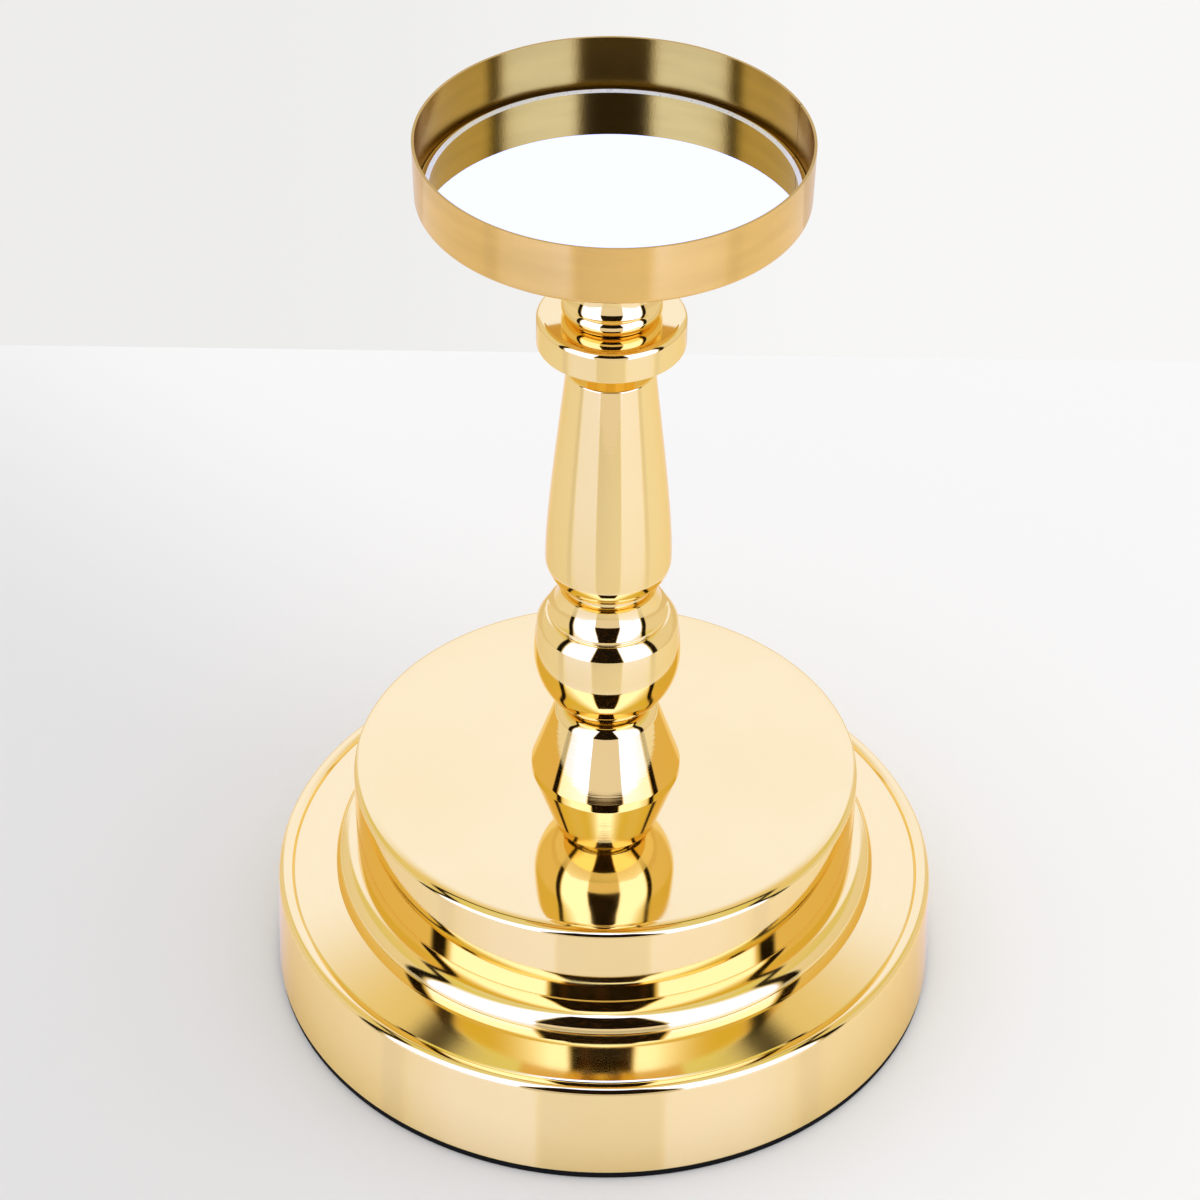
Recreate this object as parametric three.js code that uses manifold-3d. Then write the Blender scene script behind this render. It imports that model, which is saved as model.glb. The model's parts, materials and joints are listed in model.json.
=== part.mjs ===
// Candle stand: a shallow mirrored tray on a turned stem and a stepped, pressed-metal base.
// Millimetres, +Z up. The origin is on the table, under the axis that every piece is turned about.
import * as THREE from "three";
import { mergeVertices } from "three/addons/utils/BufferGeometryUtils.js";
import Module from "manifold-3d";

// Facets of the turned forms
const SHELL_SIDES = 48;
const STEM_SIDES = 28;
const HARDWARE_SIDES = 18;
const ARC_STEPS = 4;
const SHORT_STEPS = 3;
const SWEEP_STEPS = 7;

// Clearance between pieces that slip into or over each other
const SLIP_GAP = 0.35;

// Felt and board under the base
const FELT_THICKNESS = 2.0;
const FELT_INSET = 1.1;
const FELT_EDGE = 0.4;
const BOARD_THICKNESS = 2.5;
const BOARD_ACCESS_RADIUS = 16;

// Pressed sheet of the two base shells
const SHELL_GAUGE = 0.8;

// Drum: the upper step of the base, an inverted pan
const DRUM_RADIUS = 70.4;
const DRUM_HEIGHT = 27.0;
const DRUM_EDGE_WIDTH = 4.2;
const DRUM_EDGE_DROP = 1.7;

// Plinth: the lower step, pressed outward from the drum's foot in one sheet
const RING_WIDTH = 6.0;
const RING_HEIGHT = 7.7;
const APRON_WIDTH = 11.9;
const APRON_FALL = 2.1;
const GROOVE_WIDTH = 0.8;
const GROOVE_DEPTH = 0.45;
const LEDGE_WIDTH = 1.8;
const PLINTH_EDGE_ROUND = 2.0;
const PLINTH_WALL_HEIGHT = 28.6;
const PLINTH_WALL_LEAN = 1.1;
const HEM_WIDTH = 6.0;
const LIP_HEIGHT = 4.0;

// Threaded rod that clamps the stem and the base, with its nuts and washers
const ROD_RADIUS = 4.0;
const ROD_END = 2.0;
const ROD_SOCKET_DEPTH = 14.0;
const NUT_WALL = 2.5;
const NUT_HEIGHT = 6.5;
const NUT_CHAMFER = 0.9;
const WASHER_RIM = 8.0;
const WASHER_THICKNESS = 1.6;
const LOCK_WASHER_RIM = 2.8;
const LOCK_WASHER_THICKNESS = 2.0;
const LOCK_WASHER_SPLIT = 1.2;
const CLAMP_PLATE_THICKNESS = 1.5;

// Stem foot: a straight cone with a low upright rim and a rounded shoulder, standing on the drum's plate
const FOOT_RADIUS = 20.75;
const FOOT_HEIGHT = 22.55;
const FOOT_RIM_HEIGHT = 1.3;
const FOOT_CONE_ANGLE = 18.5;
const FOOT_SHOULDER_ROUND = 4.1;
const FOOT_RIM_WIDTH = 5.0;
const FOOT_RECESS_DEPTH = 1.0;

// Turned rings below and above the knop; the upper one is undercut in a quarter round
const LOWER_RING_RADIUS = 9.9;
const LOWER_RING_HEIGHT = 1.85;
const LOWER_RING_EDGE = 0.4;
const UPPER_RING_RADIUS = 12.6;
const UPPER_RING_HEIGHT = 3.35;
const UPPER_RING_UNDERCUT = 1.4;

// Knop: a bowl, a broad belt, a shoulder, a groove and a cove up to a flat top, each set in from the last
const KNOP_RADIUS = 20.0;
const KNOP_FOOT_INSET = 7.4;
const KNOP_BOWL_HEIGHT = 16.0;
const KNOP_BELT_HEIGHT = 10.5;
const KNOP_BELT_INSET = 0.8;
const KNOP_SHOULDER_HEIGHT = 3.25;
const KNOP_SHOULDER_INSET = 2.35;
const KNOP_GROOVE_HEIGHT = 1.5;
const KNOP_GROOVE_INSET = 0.45;
const KNOP_COVE_HEIGHT = 7.25;
const KNOP_COVE_INSET = 3.25;

// Baluster: rounded under, drawn up to a crisp edge, with a narrow neck below the collar
const BALUSTER_RADIUS = 17.0;
const BALUSTER_FOOT_INSET = 4.8;
const BALUSTER_BELLY_HEIGHT = 7.0;
const BALUSTER_TAPER_HEIGHT = 60.4;
const BALUSTER_TOP_RADIUS = 11.65;
const BALUSTER_EDGE = 0.4;
const BALUSTER_NECK_RADIUS = 8.7;
const BALUSTER_NECK_HEIGHT = 8.05;

// Collar disc
const COLLAR_RADIUS = 19.35;
const COLLAR_THICKNESS = 8.9;
const COLLAR_TOP_ROUND = 1.7;
const COLLAR_BOTTOM_ROUND = 0.5;

// Neck that carries the tray: bead, groove, cove, waist and seat
const NECK_BEAD_RADIUS = 13.0;
const NECK_BEAD_HEIGHT = 5.3;
const NECK_BEAD_INSET = 2.3;
const NECK_GROOVE_DEPTH = 0.9;
const NECK_GROOVE_RISE = 0.35;
const NECK_COVE_RADIUS = 13.0;
const NECK_COVE_HEIGHT = 4.25;
const NECK_WAIST_RADIUS = 11.8;
const NECK_FLARE_HEIGHT = 25.5;
const NECK_SEAT_RADIUS = 13.5;
const NECK_SEAT_THICKNESS = 1.6;

// Tray cup of thin brushed sheet, and the countersunk screw in its dimple
const CUP_RADIUS = 50.0;
const CUP_HEIGHT = 16.1;
const CUP_FLARE = 0.35;
const CUP_GAUGE = 0.7;
const CUP_CORNER_ROUND = 1.2;
const SCREW_RADIUS = 3.0;
const SCREW_HEAD_WIDTH = 3.0;
const SCREW_LENGTH = 12.0;
const SCREW_SOCKET_RADIUS = 1.9;
const SCREW_SOCKET_DEPTH = 1.8;
const SCREW_BORE_SPARE = 1.5;

// Mirror on its bed of adhesive
const ADHESIVE_THICKNESS = 0.6;
const ADHESIVE_INSET = 3.0;
const ADHESIVE_HOLE_MARGIN = 5.0;
const MIRROR_THICKNESS = 2.0;
const MIRROR_GAP = 1.0;
const MIRROR_BEVEL = 0.6;

// How each curve leaves its lower end and meets its upper one, as shares of the curve's width and height
const DRUM_EDGE_PULLS = [[0, 0.73], [0.62, 0]];
const RING_PULLS = [[0, 0.66], [0.66, 0]];
const BOWL_PULLS = [[0.81, 0.28], [0, 0.39]];
const BELT_PULLS = [[0, 0.33], [0.56, 0.25]];
const SHOULDER_PULLS = [[0.21, 0.35], [0.4, 0.26]];
const KNOP_COVE_PULLS = [[0.58, 0.22], [0.14, 0.55]];
const TAPER_PULLS = [[0, 0.23], [0.38, 0.33]];
const NECK_COVE_PULLS = [[0.5, 0.15], [0, 0.52]];
const FLARE_PULLS = [[0, 0.7], [1, 0]];

// Colours
const GOLD = 0xe9c987;
const CUP_GOLD = 0xd9b57c;
const MIRROR_SILVER = 0xe8ecec;
const FELT_BLACK = 0x121212;
const BOARD_BROWN = 0x6f5238;
const ZINC = 0xb4b7ba;
const ADHESIVE_WHITE = 0xdedbd2;

// Heights of the seats, from the table up
const plinthFoot = FELT_THICKNESS;
const plinthWallTop = plinthFoot + PLINTH_WALL_HEIGHT;
const ledgeTop = plinthWallTop + PLINTH_EDGE_ROUND;
const apronFoot = ledgeTop - GROOVE_DEPTH;
const apronTop = apronFoot + APRON_FALL;
const ringTop = apronTop + RING_HEIGHT;
const plateTop = ringTop + DRUM_HEIGHT;
const footTop = plateTop + FOOT_HEIGHT;
const knopBottom = footTop + LOWER_RING_HEIGHT;
const knopBelt = knopBottom + KNOP_BOWL_HEIGHT;
const knopShoulder = knopBelt + KNOP_BELT_HEIGHT;
const knopGroove = knopShoulder + KNOP_SHOULDER_HEIGHT;
const knopCove = knopGroove + KNOP_GROOVE_HEIGHT;
const knopTop = knopCove + KNOP_COVE_HEIGHT;
const balusterBottom = knopTop + UPPER_RING_HEIGHT;
const balusterBelly = balusterBottom + BALUSTER_BELLY_HEIGHT;
const balusterShoulder = balusterBelly + BALUSTER_TAPER_HEIGHT;
const balusterTop = balusterShoulder + BALUSTER_EDGE;
const collarBottom = balusterTop + BALUSTER_NECK_HEIGHT;
const collarTop = collarBottom + COLLAR_THICKNESS;
const neckGroove = collarTop + NECK_BEAD_HEIGHT;
const neckCove = neckGroove + NECK_GROOVE_RISE;
const neckWaist = neckCove + NECK_COVE_HEIGHT;
const cupBottom = neckWaist + NECK_FLARE_HEIGHT;
const cupFloor = cupBottom + CUP_GAUGE;
const cupRim = cupBottom + CUP_HEIGHT;
const mirrorBottom = cupFloor + ADHESIVE_THICKNESS;
const mirrorTop = mirrorBottom + MIRROR_THICKNESS;

// Radii that follow from the driving sizes
const ringRadius = DRUM_RADIUS + RING_WIDTH;
const apronRadius = ringRadius + APRON_WIDTH;
const ledgeRadius = apronRadius + GROOVE_WIDTH;
const plinthEdgeCentre = ledgeRadius + LEDGE_WIDTH;
const plinthTopRadius = plinthEdgeCentre + PLINTH_EDGE_ROUND;
const plinthFootRadius = plinthTopRadius + PLINTH_WALL_LEAN;
const drumInside = DRUM_RADIUS - SHELL_GAUGE;
const lipRadius = drumInside - SLIP_GAP;
const rodBore = ROD_RADIUS + SLIP_GAP;
const cupFloorRadius = CUP_RADIUS - CUP_FLARE;
const mirrorRadius = cupFloorRadius - CUP_GAUGE - MIRROR_GAP;
const screwHeadRadius = SCREW_RADIUS + SCREW_HEAD_WIDTH;

function point(radius, height) {
  return new THREE.Vector2(radius, height);
}

// Points on an elliptic arc about a centre in the (radius, height) plane, angles in degrees from outward
function arc(radius, height, across, up, from, to, steps = ARC_STEPS) {
  return Array.from({ length: steps + 1 }, (_, i) => {
    const angle = THREE.MathUtils.degToRad(from + ((to - from) * i) / steps);
    return point(radius + across * Math.cos(angle), height + up * Math.sin(angle));
  });
}

function roundArc(radius, height, size, from, to, steps = ARC_STEPS) {
  return arc(radius, height, size, size, from, to, steps);
}

// Points along a cubic curve between two places, pulled by the given shares of its width and height at each end
function sweep(start, end, [leaving, meeting], steps = SWEEP_STEPS) {
  const way = end.clone().sub(start);
  const leave = start.clone().add(way.clone().multiply(point(...leaving)));
  const meet = end.clone().sub(way.clone().multiply(point(...meeting)));
  return new THREE.CubicBezierCurve(start, leave, meet, end).getPoints(steps);
}

// Solid of revolution about Z; the profile runs up the outside, and closes itself if it is off the axis
function turned(profile, sides) {
  const points = [...profile];
  const first = points[0];
  const last = points[points.length - 1];
  const closesOnAxis = first.x === 0 && last.x === 0;
  if (!closesOnAxis) points.push(first.clone());
  return new THREE.LatheGeometry(points, sides).rotateX(Math.PI / 2);
}

// A plain ring with square edges
function plainRing(inner, outer, bottom, height, sides) {
  const top = bottom + height;
  return turned([point(inner, bottom), point(outer, bottom), point(outer, top), point(inner, top)], sides);
}

const wasm = await Module();
wasm.setup();

function toSolid(geometry) {
  const bare = geometry.clone();
  bare.deleteAttribute("normal");
  bare.deleteAttribute("uv");
  const merged = mergeVertices(bare, 1e-4);
  const vertProperties = Float32Array.from(merged.attributes.position.array);
  const triVerts = Uint32Array.from(merged.index.array);
  return new wasm.Manifold(new wasm.Mesh({ numProp: 3, vertProperties, triVerts }));
}

function toGeometry(solid) {
  const mesh = solid.getMesh();
  const geometry = new THREE.BufferGeometry();
  geometry.setAttribute("position", new THREE.BufferAttribute(mesh.vertProperties, 3));
  geometry.setIndex(new THREE.BufferAttribute(mesh.triVerts, 1));
  geometry.computeVertexNormals();
  return geometry;
}

function piece(name, geometry, color, roughness, metalness) {
  const material = new THREE.MeshStandardMaterial({ color, roughness, metalness });
  const mesh = new THREE.Mesh(geometry, material);
  mesh.name = name;
  return mesh;
}

function goldPiece(name, geometry) {
  return piece(name, geometry, GOLD, 0.08, 1);
}

function zincPiece(name, geometry) {
  return piece(name, geometry, ZINC, 0.4, 1);
}

// Base

function feltPad() {
  const radius = plinthFootRadius - FELT_INSET;
  const profile = [
    point(0, 0),
    point(radius - FELT_EDGE, 0),
    point(radius, FELT_EDGE),
    point(radius, FELT_THICKNESS),
    point(0, FELT_THICKNESS),
  ];
  return piece("felt_pad", turned(profile, SHELL_SIDES), FELT_BLACK, 0.95, 0);
}

// The board lies on the hem that is turned in at the plinth's foot, and its hole lets a spanner reach the nut
function baseBoard() {
  const bottom = plinthFoot + SHELL_GAUGE;
  const lean = PLINTH_WALL_LEAN * (BOARD_THICKNESS / PLINTH_WALL_HEIGHT);
  const radius = plinthFootRadius - SHELL_GAUGE - lean - SLIP_GAP;
  const geometry = plainRing(BOARD_ACCESS_RADIUS, radius, bottom, BOARD_THICKNESS, SHELL_SIDES);
  return piece("base_board", geometry, BOARD_BROWN, 0.8, 0);
}

// One sheet: hem, leaning wall, rounded edge, ledge, groove, falling apron, swept ring and centring lip
function plinthShell() {
  const gauge = SHELL_GAUGE;
  const hemInside = plinthFootRadius - HEM_WIDTH;
  const ringInside = sweep(
    point(ringRadius - gauge, apronTop - gauge),
    point(DRUM_RADIUS, ringTop - gauge),
    RING_PULLS,
    ARC_STEPS,
  );
  const lipTop = ringTop + LIP_HEIGHT;
  const profile = [
    point(hemInside, plinthFoot),
    ...roundArc(plinthFootRadius - gauge, plinthFoot + gauge, gauge, -90, 0, 2),
    ...roundArc(plinthEdgeCentre, plinthWallTop, PLINTH_EDGE_ROUND, 0, 90),
    point(ledgeRadius, ledgeTop),
    point(ledgeRadius - GROOVE_WIDTH / 2, apronFoot - GROOVE_DEPTH / 2),
    point(apronRadius, apronFoot),
    ...sweep(point(ringRadius, apronTop), point(DRUM_RADIUS, ringTop), RING_PULLS),
    point(lipRadius, ringTop),
    point(lipRadius, lipTop),
    point(lipRadius - gauge, lipTop),
    point(lipRadius - gauge, ringTop - gauge),
    ...ringInside.reverse(),
    point(apronRadius, apronFoot - GROOVE_DEPTH - gauge),
    ...roundArc(plinthEdgeCentre, plinthWallTop, PLINTH_EDGE_ROUND - gauge, 90, 0, 3),
    point(plinthFootRadius - gauge, plinthFoot + gauge),
    point(hemInside, plinthFoot + gauge),
  ];
  return goldPiece("plinth_shell", turned(profile, SHELL_SIDES));
}

// Inverted pan whose wall stands on the plinth's ring, outside the lip, with a soft edge round its plate
function drumShell() {
  const gauge = SHELL_GAUGE;
  const edgeCentre = DRUM_RADIUS - DRUM_EDGE_WIDTH;
  const edgeLevel = plateTop - DRUM_EDGE_DROP;
  const innerDrop = Math.max(DRUM_EDGE_DROP - gauge, gauge / 4);
  const innerLevel = plateTop - gauge - innerDrop;
  const profile = [
    point(drumInside, ringTop),
    point(DRUM_RADIUS, ringTop),
    ...sweep(point(DRUM_RADIUS, edgeLevel), point(edgeCentre, plateTop), DRUM_EDGE_PULLS, ARC_STEPS),
    point(rodBore, plateTop),
    point(rodBore, plateTop - gauge),
    ...arc(edgeCentre, innerLevel, DRUM_EDGE_WIDTH - gauge, innerDrop, 90, 0, 3),
  ];
  return goldPiece("drum_shell", turned(profile, SHELL_SIDES));
}

// Disc that the lower nut pulls up against the flat under the drum's wall, to hold the plinth to the drum
function clampPlate() {
  const bottom = ringTop - SHELL_GAUGE - CLAMP_PLATE_THICKNESS;
  const radius = DRUM_RADIUS - SLIP_GAP;
  const geometry = plainRing(rodBore, radius, bottom, CLAMP_PLATE_THICKNESS, SHELL_SIDES);
  return zincPiece("clamp_plate", geometry);
}

// Rod, nuts and washers

function hexNut(name, top) {
  const flat = ROD_RADIUS + NUT_WALL;
  const corner = flat / Math.cos(Math.PI / 6);
  const bottom = top - NUT_HEIGHT;
  const outline = new THREE.Shape();
  for (let i = 0; i < 6; i += 1) {
    const angle = (i * Math.PI) / 3;
    const place = [corner * Math.cos(angle), corner * Math.sin(angle)];
    if (i === 0) outline.moveTo(...place);
    else outline.lineTo(...place);
  }
  const prism = new THREE.ExtrudeGeometry(outline, { depth: NUT_HEIGHT, bevelEnabled: false });
  prism.translate(0, 0, bottom);
  const bevel = turned(
    [
      point(rodBore, bottom),
      point(corner - NUT_CHAMFER, bottom),
      point(corner + NUT_CHAMFER / 2, bottom + NUT_CHAMFER),
      point(corner + NUT_CHAMFER / 2, top - NUT_CHAMFER),
      point(corner - NUT_CHAMFER, top),
      point(rodBore, top),
    ],
    HARDWARE_SIDES,
  );
  return zincPiece(name, toGeometry(toSolid(prism).intersect(toSolid(bevel))));
}

function flatWasher(name, top) {
  const outer = rodBore + WASHER_RIM;
  const geometry = plainRing(rodBore, outer, top - WASHER_THICKNESS, WASHER_THICKNESS, HARDWARE_SIDES);
  return zincPiece(name, geometry);
}

function lockWasher(name, top) {
  const outer = rodBore + LOCK_WASHER_RIM;
  const bottom = top - LOCK_WASHER_THICKNESS;
  const ring = plainRing(rodBore, outer, bottom, LOCK_WASHER_THICKNESS, HARDWARE_SIDES);
  const split = new THREE.BoxGeometry(outer + SLIP_GAP, LOCK_WASHER_SPLIT, 3 * LOCK_WASHER_THICKNESS);
  split.translate((outer + SLIP_GAP) / 2, 0, bottom + LOCK_WASHER_THICKNESS / 2);
  return zincPiece(name, toGeometry(toSolid(ring).subtract(toSolid(split))));
}

// Washer, split lock washer and nut, drawn up against the face above them
function nutStack(prefix, face) {
  const lockTop = face - WASHER_THICKNESS;
  const nutTop = lockTop - LOCK_WASHER_THICKNESS;
  return [
    flatWasher(`${prefix}_washer`, face),
    lockWasher(`${prefix}_lock_washer`, lockTop),
    hexNut(`${prefix}_nut`, nutTop),
  ];
}

function tieRod() {
  const clampFace = ringTop - SHELL_GAUGE - CLAMP_PLATE_THICKNESS;
  const bottom = clampFace - WASHER_THICKNESS - LOCK_WASHER_THICKNESS - NUT_HEIGHT - ROD_END;
  const top = collarTop + ROD_SOCKET_DEPTH - SLIP_GAP;
  const profile = [point(0, bottom), point(ROD_RADIUS, bottom), point(ROD_RADIUS, top), point(0, top)];
  return zincPiece("tie_rod", turned(profile, HARDWARE_SIDES));
}

// Stem

// Low upright rim, straight cone and a shoulder that the cone runs into, relieved underneath
function stemFoot() {
  const slope = THREE.MathUtils.degToRad(FOOT_CONE_ANGLE);
  const rimTop = plateTop + FOOT_RIM_HEIGHT;
  const coneTop = footTop - FOOT_SHOULDER_ROUND * (1 - Math.sin(slope));
  const coneTopRadius = FOOT_RADIUS - (coneTop - rimTop) * Math.tan(slope);
  const shoulderCentre = coneTopRadius - FOOT_SHOULDER_ROUND * Math.cos(slope);
  const shoulderLevel = footTop - FOOT_SHOULDER_ROUND;
  const recessTop = plateTop + FOOT_RECESS_DEPTH;
  const recessRadius = FOOT_RADIUS - FOOT_RIM_WIDTH;
  const profile = [
    point(rodBore, recessTop),
    point(recessRadius, recessTop),
    point(recessRadius, plateTop),
    point(FOOT_RADIUS, plateTop),
    point(FOOT_RADIUS, rimTop),
    ...roundArc(shoulderCentre, shoulderLevel, FOOT_SHOULDER_ROUND, FOOT_CONE_ANGLE, 90),
    point(rodBore, footTop),
  ];
  return goldPiece("stem_foot", turned(profile, STEM_SIDES));
}

// Plain turned ring with broken edges
function lowerRing() {
  const inside = LOWER_RING_RADIUS - LOWER_RING_EDGE;
  const profile = [
    point(rodBore, footTop),
    point(inside, footTop),
    point(LOWER_RING_RADIUS, footTop + LOWER_RING_EDGE),
    point(LOWER_RING_RADIUS, knopBottom - LOWER_RING_EDGE),
    point(inside, knopBottom),
    point(rodBore, knopBottom),
  ];
  return goldPiece("lower_ring", turned(profile, STEM_SIDES));
}

function upperRing() {
  const inside = UPPER_RING_RADIUS - UPPER_RING_UNDERCUT;
  const brow = knopTop + (UPPER_RING_HEIGHT * 2) / 3;
  const profile = [
    point(rodBore, knopTop),
    ...arc(inside, brow, UPPER_RING_UNDERCUT, brow - knopTop, -90, 0, SHORT_STEPS),
    point(UPPER_RING_RADIUS, balusterBottom),
    point(rodBore, balusterBottom),
  ];
  return goldPiece("upper_ring", turned(profile, STEM_SIDES));
}

function stemKnop() {
  const shoulderRadius = KNOP_RADIUS - KNOP_BELT_INSET;
  const grooveRadius = shoulderRadius - KNOP_SHOULDER_INSET;
  const coveRadius = grooveRadius - KNOP_GROOVE_INSET;
  const foot = point(KNOP_RADIUS - KNOP_FOOT_INSET, knopBottom);
  const belt = point(KNOP_RADIUS, knopBelt);
  const shoulder = point(shoulderRadius, knopShoulder);
  const groove = point(grooveRadius, knopGroove);
  const cove = point(coveRadius, knopCove);
  const top = point(coveRadius - KNOP_COVE_INSET, knopTop);
  const profile = [
    point(rodBore, knopBottom),
    ...sweep(foot, belt, BOWL_PULLS),
    ...sweep(belt, shoulder, BELT_PULLS, SHORT_STEPS).slice(1),
    ...sweep(shoulder, groove, SHOULDER_PULLS, SHORT_STEPS).slice(1),
    ...sweep(cove, top, KNOP_COVE_PULLS, ARC_STEPS),
    point(rodBore, knopTop),
  ];
  return goldPiece("stem_knop", turned(profile, STEM_SIDES));
}

function baluster() {
  const footRadius = BALUSTER_RADIUS - BALUSTER_FOOT_INSET;
  const edgeRadius = BALUSTER_TOP_RADIUS - BALUSTER_EDGE;
  const belly = point(BALUSTER_RADIUS, balusterBelly);
  const shoulder = point(BALUSTER_TOP_RADIUS, balusterShoulder);
  const profile = [
    point(rodBore, balusterBottom),
    ...arc(footRadius, balusterBelly, BALUSTER_FOOT_INSET, BALUSTER_BELLY_HEIGHT, -90, 0, 5),
    ...sweep(belly, shoulder, TAPER_PULLS).slice(1),
    point(edgeRadius, balusterTop),
    point(BALUSTER_NECK_RADIUS, balusterTop),
    point(BALUSTER_NECK_RADIUS, collarBottom),
    point(rodBore, collarBottom),
  ];
  return goldPiece("baluster", turned(profile, STEM_SIDES));
}

function collarDisc() {
  const topCentre = COLLAR_RADIUS - COLLAR_TOP_ROUND;
  const bottomCentre = COLLAR_RADIUS - COLLAR_BOTTOM_ROUND;
  const profile = [
    point(rodBore, collarBottom),
    ...roundArc(bottomCentre, collarBottom + COLLAR_BOTTOM_ROUND, COLLAR_BOTTOM_ROUND, -90, 0, 2),
    ...roundArc(topCentre, collarTop - COLLAR_TOP_ROUND, COLLAR_TOP_ROUND, 0, 90),
    point(rodBore, collarTop),
  ];
  return goldPiece("collar_disc", turned(profile, STEM_SIDES));
}

// Tray

// Both ends are bored blind: below for the rod, above for the screw, with a countersink for the tray's dimple
function cupNeck() {
  const beadCentre = collarTop + NECK_BEAD_HEIGHT / 2;
  const beadSide = NECK_BEAD_RADIUS - NECK_BEAD_INSET;
  const grooveRadius = NECK_COVE_RADIUS - NECK_GROOVE_DEPTH;
  const seatBottom = cupBottom - NECK_SEAT_THICKNESS;
  const waist = point(NECK_WAIST_RADIUS, neckWaist);
  const screwBore = SCREW_RADIUS + SLIP_GAP;
  const sinkRadius = dimpleUnderside(cupBottom) + 2 * SLIP_GAP;
  const profile = [
    point(0, collarTop + ROD_SOCKET_DEPTH),
    point(rodBore, collarTop + ROD_SOCKET_DEPTH),
    point(rodBore, collarTop),
    ...arc(beadSide, beadCentre, NECK_BEAD_INSET, NECK_BEAD_HEIGHT / 2, -90, 90, 6),
    point(grooveRadius, neckGroove),
    ...sweep(point(NECK_COVE_RADIUS, neckCove), waist, NECK_COVE_PULLS, ARC_STEPS),
    ...sweep(waist, point(NECK_SEAT_RADIUS, seatBottom), FLARE_PULLS, ARC_STEPS).slice(1),
    point(NECK_SEAT_RADIUS, cupBottom),
    point(sinkRadius, cupBottom),
    point(screwBore, cupBottom - (sinkRadius - screwBore)),
    point(screwBore, cupFloor - SCREW_LENGTH - SCREW_BORE_SPARE),
    point(0, cupFloor - SCREW_LENGTH - SCREW_BORE_SPARE),
  ];
  return goldPiece("cup_neck", turned(profile, STEM_SIDES));
}

// Radius of the dimple's upper and lower faces at a height; the cone falls at 45 degrees, like the screw head
function dimpleTopside(height) {
  return screwHeadRadius + SLIP_GAP - (cupFloor - height);
}

function dimpleUnderside(height) {
  return dimpleTopside(height) + CUP_GAUGE * Math.SQRT2;
}

// Thin tray with a plain cut rim, a rounded foot and a screw dimple pressed into its floor
function candleCup() {
  const gauge = CUP_GAUGE;
  const cornerCentre = cupFloorRadius - CUP_CORNER_ROUND;
  const cornerLevel = cupBottom + CUP_CORNER_ROUND;
  const innerRound = Math.max(CUP_CORNER_ROUND - gauge, gauge / 4);
  const holeRadius = SCREW_RADIUS + SLIP_GAP;
  const holeTop = cupFloor - SCREW_HEAD_WIDTH;
  const holeBottom = holeTop - gauge * Math.SQRT2;
  const profile = [
    point(holeRadius, holeBottom),
    point(dimpleUnderside(cupBottom), cupBottom),
    ...roundArc(cornerCentre, cornerLevel, CUP_CORNER_ROUND, -90, 0, 3),
    point(CUP_RADIUS, cupRim),
    point(CUP_RADIUS - gauge, cupRim),
    ...roundArc(cupFloorRadius - gauge - innerRound, cupFloor + innerRound, innerRound, 0, -90, 2),
    point(dimpleTopside(cupFloor), cupFloor),
    point(holeRadius, holeTop),
  ];
  return piece("candle_cup", turned(profile, SHELL_SIDES), CUP_GOLD, 0.22, 1);
}

// Countersunk screw, flush with the tray's floor, with a hexagon socket
function cupScrew() {
  const tip = cupFloor - SCREW_LENGTH;
  const body = turned(
    [
      point(0, tip),
      point(SCREW_RADIUS, tip),
      point(SCREW_RADIUS, cupFloor - SCREW_HEAD_WIDTH),
      point(screwHeadRadius, cupFloor),
      point(0, cupFloor),
    ],
    HARDWARE_SIDES,
  );
  const socket = new THREE.CylinderGeometry(
    SCREW_SOCKET_RADIUS,
    SCREW_SOCKET_RADIUS,
    2 * SCREW_SOCKET_DEPTH,
    6,
  );
  socket.rotateX(Math.PI / 2).translate(0, 0, cupFloor);
  return zincPiece("cup_screw", toGeometry(toSolid(body).subtract(toSolid(socket))));
}

// Ring of adhesive that beds the mirror and leaves the screw head clear
function mirrorAdhesive() {
  const inner = screwHeadRadius + ADHESIVE_HOLE_MARGIN;
  const outer = mirrorRadius - ADHESIVE_INSET;
  const geometry = plainRing(inner, outer, cupFloor, ADHESIVE_THICKNESS, STEM_SIDES);
  return piece("mirror_adhesive", geometry, ADHESIVE_WHITE, 0.7, 0);
}

function mirrorDisc() {
  const profile = [
    point(0, mirrorBottom),
    point(mirrorRadius, mirrorBottom),
    point(mirrorRadius, mirrorTop - MIRROR_BEVEL),
    point(mirrorRadius - MIRROR_BEVEL, mirrorTop),
    point(0, mirrorTop),
  ];
  return piece("mirror_disc", turned(profile, SHELL_SIDES), MIRROR_SILVER, 0.02, 1);
}

const base = new THREE.Group();
base.add(feltPad(), baseBoard(), plinthShell(), drumShell(), clampPlate());

const fastening = new THREE.Group();
fastening.add(tieRod());
fastening.add(...nutStack("clamp", ringTop - SHELL_GAUGE - CLAMP_PLATE_THICKNESS));
fastening.add(...nutStack("plate", plateTop - SHELL_GAUGE));

const stem = new THREE.Group();
stem.add(stemFoot(), lowerRing(), stemKnop(), upperRing(), baluster(), collarDisc());

const tray = new THREE.Group();
tray.add(cupNeck(), candleCup(), cupScrew(), mirrorAdhesive(), mirrorDisc());

const candleStand = new THREE.Group();
candleStand.add(base, fastening, stem, tray);

export default candleStand;
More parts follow.
